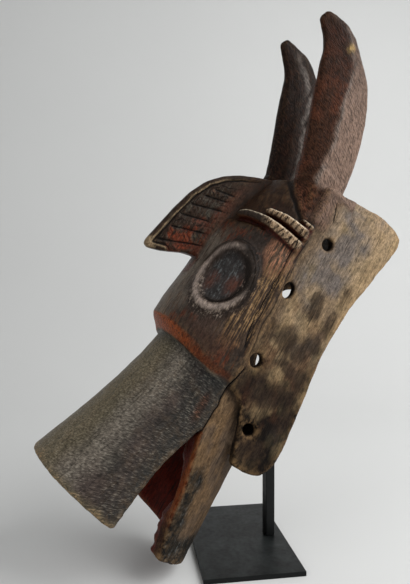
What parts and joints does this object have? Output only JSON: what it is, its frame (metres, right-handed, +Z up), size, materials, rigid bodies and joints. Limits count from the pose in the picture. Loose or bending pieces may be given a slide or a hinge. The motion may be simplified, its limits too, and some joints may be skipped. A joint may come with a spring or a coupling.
{
  "type": "carved buffalo mask on a stand",
  "caption": "Carved wooden horned animal mask with open jaws and a hollow back, leaning on a black steel plate and post stand.",
  "frame": {"origin": "on the underside of the stand's plate, straight below the post, in the mask's middle plane", "axes": "+Z up, -Y the way the mask looks, +X to the mask's left side"},
  "size_m": [0.2292, 0.4809, 0.7402],
  "materials": {
    "carved_wood": "old carved wood, worn paint",
    "stand_steel": "satin black"
  },
  "bodies": {
    "root": {"mask": "carved_wood", "stand_plate": "stand_steel", "stand_post": "stand_steel", "stand_crossbar": "stand_steel"}
  },
  "joints": []
}
